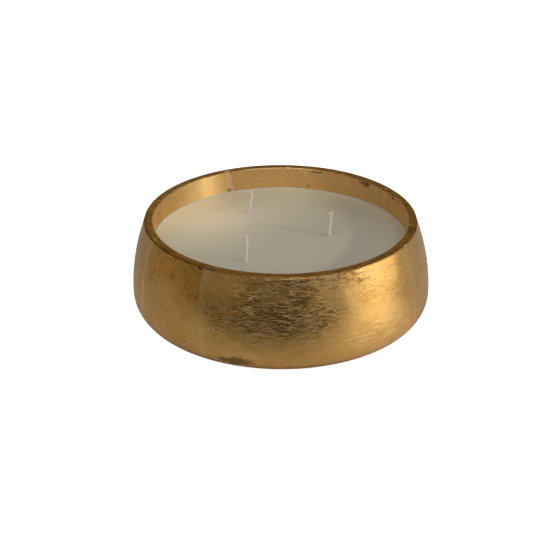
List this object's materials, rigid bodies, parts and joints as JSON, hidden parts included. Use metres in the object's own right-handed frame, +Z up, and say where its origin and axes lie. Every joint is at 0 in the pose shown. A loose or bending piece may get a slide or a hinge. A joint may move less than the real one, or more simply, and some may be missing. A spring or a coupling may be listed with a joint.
{
  "type": "candle bowl",
  "caption": "Low round candle: a thick turned bowl leafed in gold colour inside and out, filled with cream wax, with short primed wicks standing in it. Stands on its felt base.",
  "frame": {"origin": "centre of the felt disc's lower face, which the candle stands on, on the bowl's turning axis", "axes": "+Z up along the bowl's turning axis, +X to the viewer's right with -Y towards the viewer"},
  "size_m": [0.21, 0.21, 0.0762],
  "materials": {
    "gilded_wood": "satin",
    "wax": "satin",
    "felt": "matte",
    "wick": "matte",
    "wick_tab": "satin",
    "adhesive_dot": "matte"
  },
  "bodies": {
    "root": {"bowl": "gilded_wood", "wax_fill": "wax", "felt_base": "felt", "wick_1": "wick", "wick_2": "wick", "wick_3": "wick", "wick_tab_1": "wick_tab", "wick_tab_2": "wick_tab", "wick_tab_3": "wick_tab", "adhesive_dot_1": "adhesive_dot", "adhesive_dot_2": "adhesive_dot", "adhesive_dot_3": "adhesive_dot"}
  },
  "joints": []
}
